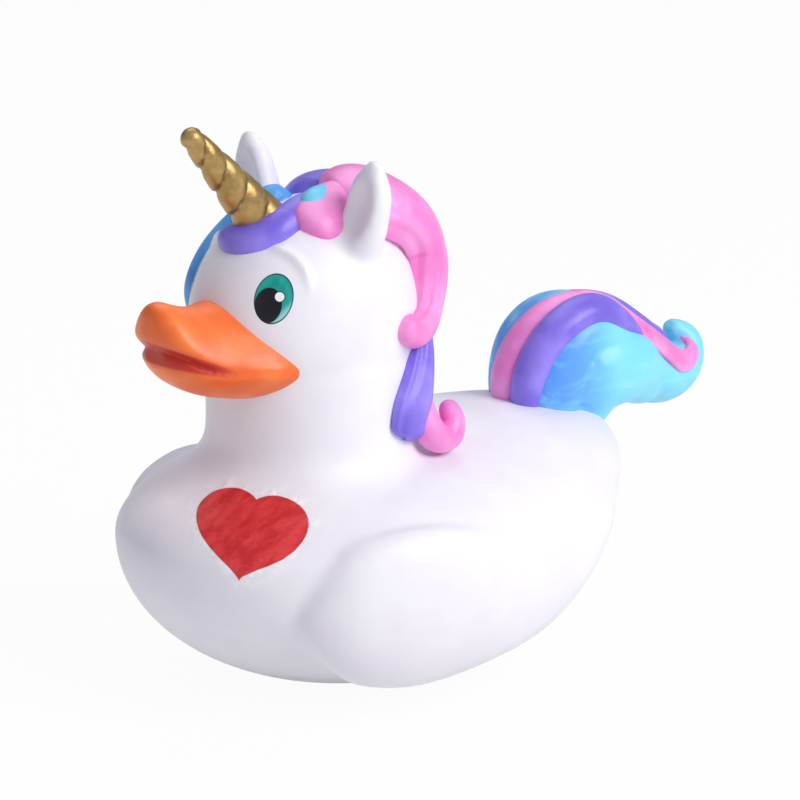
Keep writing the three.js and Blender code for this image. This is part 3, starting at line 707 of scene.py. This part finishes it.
def hair_paint(name, pale, deep):
    paint = Finish(name, 0.4)
    wash = paint.cloud(150, 3)
    brush = paint.cloud(330, 4, ((0, 0, 0), (1, 1, 0.14)), rough=0.6)
    colour = paint.over(paint.between(wash, 0.3, 0.72), deep, pale)
    colour = paint.over(paint.math("MULTIPLY", paint.between(brush, 0.52, 0.75), 0.5), colour, pale)
    colour = paint.over(paint.math("MULTIPLY", paint.between(brush, 0.42, 0.25), 0.3), colour, deep)
    pores = paint.math("MULTIPLY", paint.cloud(1500, 2), 0.15)
    paint.relief(paint.math("MULTIPLY_ADD", brush, 1.0, pores), 0.16 * mm, 0.7)
    return paint.done(colour, paint.between(wash, 0.3, 0.7, 0.36, 0.46))


pink = hair_paint("pink_paint", shade(1.0, 0.66, 0.9), shade(0.96, 0.5, 0.8))
purple = hair_paint("purple_paint", shade(0.62, 0.55, 0.97), shade(0.47, 0.4, 0.86))
# This blue is the sky paint made darker: painted shade for the cheek lock on the far side of the face.
shaded_blue = hair_paint("blue_paint", shade(0.42, 0.76, 0.98), shade(0.27, 0.55, 0.9))
sky = hair_paint("sky_paint", shade(0.5, 0.87, 0.98), shade(0.36, 0.7, 0.97))

# Forelock: the purple lock that sweeps from the crown across the forehead, under the horn.
# It is the lowest of the front locks, with two shallow furrows.
forelock = strand(
    "forelock",
    [on_head(75, 80, -1), on_head(40, 70, -1), on_head(30, 62, -1), on_head(20, 54, -1),
     on_head(2, 48, -1), on_head(-24, 45, -1), on_head(-36, 47, -1)],
    outward_from_head, [2.7, 3.2, 3.1, 3.6, 3.5, 2.4, 0.4], [2.7, 3, 3, 3.05, 3, 2.4, 1.2], 30, 18,
)
furrow(forelock, 18, (3, 6), 0.22)
finish_lock(forelock)
hand_over(forelock, purple)

# Wisp and bang: a small sky-blue lick beside the horn, and a fat pink lock that rolls over the brow.
# Both start on the crown and end in front of the left ear.
wisp = strand(
    "wisp", [on_head(90, 78, 0.2), on_head(60, 71, 0.7), on_head(44, 63, 0.2)],
    outward_from_head, [1.7, 2.4, 2.3, 0.7], [2.6, 2.6, 2.5, 1.2], 14, 14,
)
finish_lock(wisp)
hand_over(wisp, sky)

bang = strand(
    "bang",
    [on_head(130, 74, 0), on_head(88, 73, 0), on_head(67, 67, -0.7), on_head(54, 59.5, -0.7),
     on_head(48, 54, -0.7)],
    outward_from_head, [2.8, 3.9, 4.6, 4.6, 3.4], [2.9, 3.3, 3.4, 3.3, 2.6], 24, 20, 0.12,
)
furrow(bang, 20, (3, 7), 0.5)
finish_lock(bang)
hand_over(bang, pink)

# Cheek lock: a lock of the sky-blue paint, darkened as painted shade, that hangs down the far side of the face, in
# front of the right ear.
cheek_lock = strand(
    "cheek_lock",
    [on_head(-20, 72, 0), on_head(-70, 62, -1), on_head(-74, 42, -1), on_head(-64, 22, -1),
     on_head(-56, 2, -1), on_head(-60, -14, -1)],
    outward_from_head, [2.4, 4, 4, 3.8, 3.2, 0.8], [2.9, 3.3, 3.6, 3.8, 3.6, 1.8], 26, 18,
)
furrow(cheek_lock, 18, (3, 6), 0.3)
finish_lock(cheek_lock)
hand_over(cheek_lock, shaded_blue)

# Back locks: broad locks, pink at the left and purple at the right, that fall behind the ears.
# Three furrows run down each. The left one ends in a knob turned forward.
left_back_lock = strand(
    "left_back_lock",
    [on_head(95, 80, -1.3), on_head(142, 66, 0.5), on_head(152, 42, 1.7), on_head(151, 24, 1.4),
     on_neck(146, 60.6, 1), on_neck(134, 55.9, 0.8), on_neck(122, 54.7, 0.8), on_neck(113, 55.2, 0.8),
     on_neck(107, 57, 0.6)],
    outward_from_head, [5.4, 8.2, 8.6, 7.6, 6, 4.8, 3.6, 2.8, 2.2],
    [4.1, 5, 5, 4.8, 4.4, 3.9, 3.2, 2.6, 2.1], 44, 30,
)
for column, sunk in ((5, 0.8), (8, 0.6), (11, 0.8)):
    furrow(left_back_lock, 30, (column,), sunk)
finish_lock(left_back_lock)
hand_over(left_back_lock, pink)

right_back_lock = strand(
    "right_back_lock",
    [on_head(-100, 78, -2.3), on_head(-146, 64, -0.9), on_head(-152, 42, 1), on_head(-150, 16, 0.6),
     on_neck(-143, 55, 0.6), on_neck(-129, 50, 0.4), on_neck(-117, 50.5, 0.3)],
    outward_from_head, [5.4, 8.6, 9, 8.6, 7.2, 4.5, 1.4], [4.1, 5, 4.9, 4.4, 3.7, 2.5, 1.4], 36, 30,
)
for column, sunk in ((4, 0.45), (7, 0.35), (10, 0.5)):
    furrow(right_back_lock, 30, (column,), sunk)
finish_lock(right_back_lock)
hand_over(right_back_lock, purple)

# Nape locks: purple tufts that come out under the back locks and spread on the neck.
for side, name in ((1, "left_nape_lock"), (-1, "right_nape_lock")):
    nape_lock = strand(
        name,
        [on_neck(side * 141, 57, 0), on_neck(side * 135, 51, 0.2), on_neck(side * 126, 46, 0.2),
         on_neck(side * 118, 41.4, 0.2), on_neck(side * 114, 38.4, 0.4)],
        outward_from_head, [1.6, 2.7, 4.1, 5.3, 4.6], [2, 2.6, 3, 2.9, 2], 24, 24, 0.07,
    )
    for column, sunk in ((4, 0.6), (6, 0.45), (8, 0.6)):
        furrow(nape_lock, 24, (column,), sunk)
    finish_lock(nape_lock)
    hand_over(nape_lock, purple)

# Curl: the pink end of the mane, turned up on the left shoulder behind the nape lock.
curl_size = [1.8, 2.2, 2.4, 2.3, 2, 1.4]
curl = strand(
    "curl",
    [on_neck(132, 46, 0), on_neck(128, 41, 1.6), on_neck(129, 38.2, 3.2), on_neck(134, 37.6, 5),
     on_neck(138, 40, 5.6), on_neck(136, 42.8, 4.4)],
    outward_from_head, curl_size, curl_size, 26, 16, 0.08,
)
finish_lock(curl)
hand_over(curl, pink)

# Tail: a plume that rises from the rump, arches back and ends in a hook, with a broad lock on each side.
# The plume is rings along a spine in the middle plane; the strands lie on it, each in its own paint.
TAIL_HALF_WIDTH = 9.6
TAIL_HALF_THICKNESS = 6.1
TAIL_VOXEL = 0.4 * mm
PLUME_STEPS = 52
PLUME_SHARE = 0.95
spine_points = [
    Vector((0, y, z)) * mm for y, z in
    ((36, 27), (33.5, 36), (35, 43), (40, 46), (46, 43), (53.5, 38), (58.5, 35.3), (63, 36.5), (64.5, 40), (62, 42.5))
]
tail_widths = [0.8, 0.95, 1, 0.98, 0.91, 0.82, 0.72, 0.6, 0.44, 0.16]
tail_depths = [0.95, 1, 0.95, 0.92, 0.9, 0.88, 0.84, 0.7, 0.48, 0.2]


def spine(share):
    return Vector([run([p[axis] for p in spine_points], share) for axis in range(3)])


def tail_ring(share):
    ahead = (spine(min(1, share + 0.01)) - spine(max(0, share - 0.01))).normalized()
    half = TAIL_HALF_WIDTH * run(tail_widths, share) * mm
    high = TAIL_HALF_THICKNESS * run(tail_depths, share) * mm
    return spine(share), X.cross(ahead), half, high


def on_tail(share, turn, lift):
    middle, over, half, high = tail_ring(share)
    c, s = math.cos(math.radians(turn)), math.sin(math.radians(turn))
    out = (X * (c / half) + over * (s / high)).normalized()
    return middle + X * half * c + over * high * s + out * lift * mm


def outward_from_tail(place):
    near = min((k / 120 for k in range(121)), key=lambda share: (spine(share) - place).length)
    middle, over, half, high = tail_ring(near)
    arm = place - middle
    return (X * (arm.x / half ** 2) + over * (arm.dot(over) / high ** 2)).normalized()


plume_stations = []
for i in range(PLUME_STEPS + 1):
    middle, over, half, high = tail_ring(i / PLUME_STEPS)
    plume_stations.append((middle, X, over, PLUME_SHARE * half, PLUME_SHARE * high))
plume = bridged("tail_plume", plume_stations, 32)
bpy.ops.object.mode_set(mode="OBJECT")
flanks = []
for side in (1, -1):
    flanks.append(strand(
        "flank",
        [Vector((side * n, y, z)) * mm for n, y, z in
         ((3.8, 38, 31.3), (6, 41, 38.3), (6, 47, 39.3), (4.4, 52.5, 36.7), (2.5, 58, 35.3))],
        lambda place: X * side, [4.6, 5.8, 5.8, 4.9, 2.9], [3.2, 4, 4, 3.2, 1.6], 24, 28,
    ))
    bpy.ops.object.mode_set(mode="OBJECT")
for piece in (plume, *flanks):
    piece.select_set(True)
bpy.context.view_layer.objects.active = plume
bpy.ops.object.join()
apply_modifier(plume, "REMESH", mode="VOXEL", voxel_size=TAIL_VOXEL)
apply_modifier(plume, "SMOOTH", factor=0.5, iterations=14)
sea = Finish("tail_blue_paint", 0.4)
split = sea.tree.nodes.new("ShaderNodeSeparateXYZ")
sea.plug(sea.place, split.inputs[0])
back = sea.math("MULTIPLY", split.outputs[1], 1000)
brush = sea.cloud(330, 4, ((0.5, 0, 0), (1, 0.2, 1)), rough=0.6)
base = sea.over(sea.between(back, 34, 43), shade(0.36, 0.64, 0.98), shade(0.52, 0.88, 0.99))
base = sea.over(sea.math("MULTIPLY", sea.between(brush, 0.45, 0.75), 0.6), base, shade(0.6, 0.92, 0.99))
sea.relief(brush, 0.18 * mm, 0.7)
hand_over(plume, sea.done(base))


# Tail strands: two purple locks and a pink one between them, lying on the plume from rump to hook.
# Each follows turns round the plume, given as share of its length, angle and lift.
def tail_strand(name, places, widths, heights, material):
    piece = strand(name, [on_tail(*place) for place in places], outward_from_tail, widths, heights, 34, 18)
    furrow(piece, 18, (4,), 0.15)
    finish_lock(piece)
    hand_over(piece, material)


tail_strand(
    "tail_purple_near",
    [(0.03, 70, -0.8), (0.14, 66, -0.6), (0.24, 56, -0.6), (0.33, 49, -0.5), (0.42, 43, -0.5), (0.5, 39, -1)],
    [2, 2.6, 2.9, 3, 2.6, 0.5], [1.6, 2, 2.2, 2.2, 1.7, 0.5], purple,
)
tail_strand(
    "tail_pink",
    [(0.05, 97, -0.8), (0.15, 97, -0.5), (0.26, 87, -1), (0.36, 77, -0.9), (0.48, 61, -0.6), (0.6, 47, -0.4),
     (0.69, 38, -0.4), (0.77, 28, -0.4), (0.85, 24, -0.4), (0.92, 32, -0.4), (0.96, 48, -0.5)],
    [2.2, 2.5, 2.8, 2.8, 2.3, 2.1, 2.6, 3.4, 3.4, 1.9, 0.5],
    [1.3, 1.7, 1.7, 1.6, 1.5, 1.5, 1.5, 1.4, 1.2, 0.9, 0.4], pink,
)
tail_strand(
    "tail_purple_far",
    [(0.34, 104, -0.9), (0.42, 94, -0.2), (0.5, 85, 0.1), (0.6, 76, 0.2), (0.68, 70, 0.1), (0.74, 66, -0.3)],
    [0.5, 1.7, 2.5, 2.5, 1.9, 0.5], [0.6, 1.4, 1.8, 1.6, 1.2, 0.4], purple,
)

# Plain pale floor that keeps a soft shadow under the duck.
# The camera and reflections see it nearly white, and the light sees it as a pale matt sheet.
FLOOR_GLOW = 0.95
begin_piece()
bpy.ops.mesh.primitive_plane_add(size=6)
floor = bpy.context.object
floor.name = "floor"
pale = Finish("pale_floor", 0.9)
pale.shader.inputs["Base Color"].default_value = (0.9, 0.9, 0.9, 1)
ray = pale.tree.nodes.new("ShaderNodeLightPath")
glow = pale.tree.nodes.new("ShaderNodeEmission")
glow.inputs["Color"].default_value = (1, 1, 1, 1)
blend = pale.tree.nodes.new("ShaderNodeMixShader")
seen = pale.math("MAXIMUM", ray.outputs["Is Camera Ray"], ray.outputs["Is Glossy Ray"])
pale.plug(pale.math("MULTIPLY", seen, FLOOR_GLOW), blend.inputs[0])
pale.plug(pale.shader.outputs[0], blend.inputs[1])
pale.plug(glow.outputs[0], blend.inputs[2])
pale.plug(blend.outputs[0], pale.tree.nodes["Material Output"].inputs[0])
floor.data.materials.append(pale.material)

# Soft studio light: a large key at the right, a high one behind and a faint cool fill at the left.
# The lamps are placed around the middle of the picture, as the photo's camera sees it.
VIEW_AZIMUTH = math.radians(50)
VIEW_ELEVATION = math.radians(15)
world = bpy.data.worlds.new("studio")
bpy.context.scene.world = world
world.use_nodes = True
world.node_tree.nodes["Background"].inputs[0].default_value = (0.86, 0.86, 1.0, 1)
world.node_tree.nodes["Background"].inputs[1].default_value = 0.34
right = Vector((math.cos(VIEW_AZIMUTH), math.sin(VIEW_AZIMUTH), 0))
view_back = Vector((
    math.sin(VIEW_AZIMUTH) * math.cos(VIEW_ELEVATION),
    -math.cos(VIEW_AZIMUTH) * math.cos(VIEW_ELEVATION),
    math.sin(VIEW_ELEVATION),
))
view_up = view_back.cross(right)
target = (right * 4.848 + view_up * 39.394) * mm


def lamp(name, way, far, size, power, colour):
    begin_piece()
    spot = target + way.normalized() * far
    bpy.ops.object.light_add(type="AREA", location=spot)
    light = bpy.context.object
    light.name = name
    light.data.shape = "DISK"
    light.data.size = size
    light.data.energy = power
    light.data.color = colour
    light.rotation_euler = (spot - target).to_track_quat("Z", "Y").to_euler()


lamp("key", right * 0.85 + view_up * 0.6 + view_back * 0.8, 0.8, 0.5, 4.85, (1, 0.98, 0.97))
lamp("high", view_up * 1.0 - view_back * 0.2 - right * 0.1, 0.8, 0.6, 1.7, (1, 1, 1))
lamp("fill", right * -0.9 + view_up * 0.35 + view_back * 0.8, 0.9, 0.7, 0.4, (0.9, 0.9, 1))

# Camera at the photo's height and angle, 600 mm off.
# Its lens gives 6.6 pixels to the millimetre in a picture 800 pixels wide.
VIEW_DISTANCE = 0.6
PICTURE_WIDTH = 800 / 6.6 * mm
camera_data = bpy.data.cameras.new("camera")
camera = bpy.data.objects.new("camera", camera_data)
bpy.context.collection.objects.link(camera)
camera.location = target + view_back * VIEW_DISTANCE
camera.rotation_euler = Matrix((right, view_up, view_back)).transposed().to_euler()
camera_data.sensor_width = 36
camera_data.lens = camera_data.sensor_width * VIEW_DISTANCE / PICTURE_WIDTH
camera_data.clip_start = 0.01
bpy.context.scene.camera = camera
bpy.context.scene.view_settings.view_transform = "Standard"
